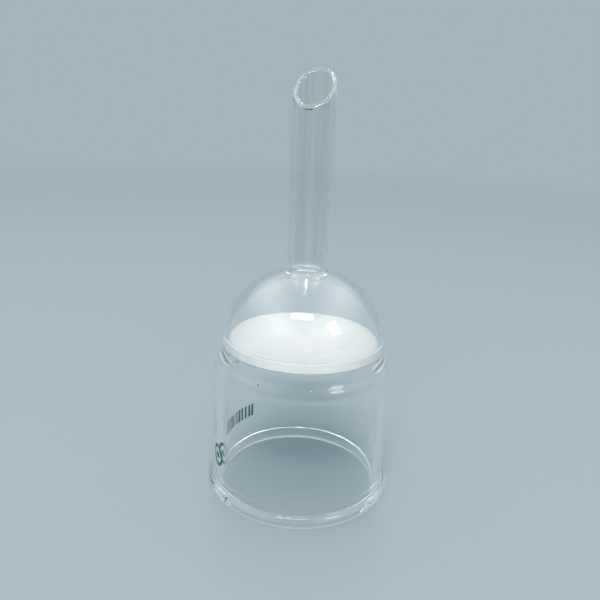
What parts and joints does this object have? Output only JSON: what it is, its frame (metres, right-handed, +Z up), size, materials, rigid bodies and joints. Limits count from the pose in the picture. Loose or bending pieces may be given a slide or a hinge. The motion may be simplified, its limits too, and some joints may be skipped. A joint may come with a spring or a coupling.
{
  "type": "buchner funnel",
  "caption": "Clear glass Buchner filter funnel with a sealed-in white sintered disc, beaded mouth, dome and slant-cut stem, standing mouth down.",
  "frame": {"origin": "centre of the flat resting ring under the beaded rim, on the funnel's axis", "axes": "+Z up the funnel's axis, from the mouth to the tip of the stem; +X to the right of the view, so that the stem's slant faces -Y and its high side is 75 degrees from +X towards +Y"},
  "size_m": [0.1058, 0.1058, 0.2339],
  "materials": {
    "clear_glass": "fire-polished clear borosilicate glass",
    "sintered_glass": "matt white porous sintered glass",
    "green_enamel": "fired-on dark green enamel",
    "grey_enamel": "fired-on dark grey-green enamel"
  },
  "bodies": {
    "root": {"rim_bead": "clear_glass", "barrel": "clear_glass", "shoulder": "clear_glass", "disc_seal_ring": "clear_glass", "fritted_disc": "sintered_glass", "dome": "clear_glass", "stem_root": "clear_glass", "stem_tube": "clear_glass", "drip_tip": "clear_glass", "enamel_emblem": "green_enamel", "enamel_bars": "green_enamel", "enamel_porosity_ticks": "grey_enamel"}
  },
  "joints": []
}
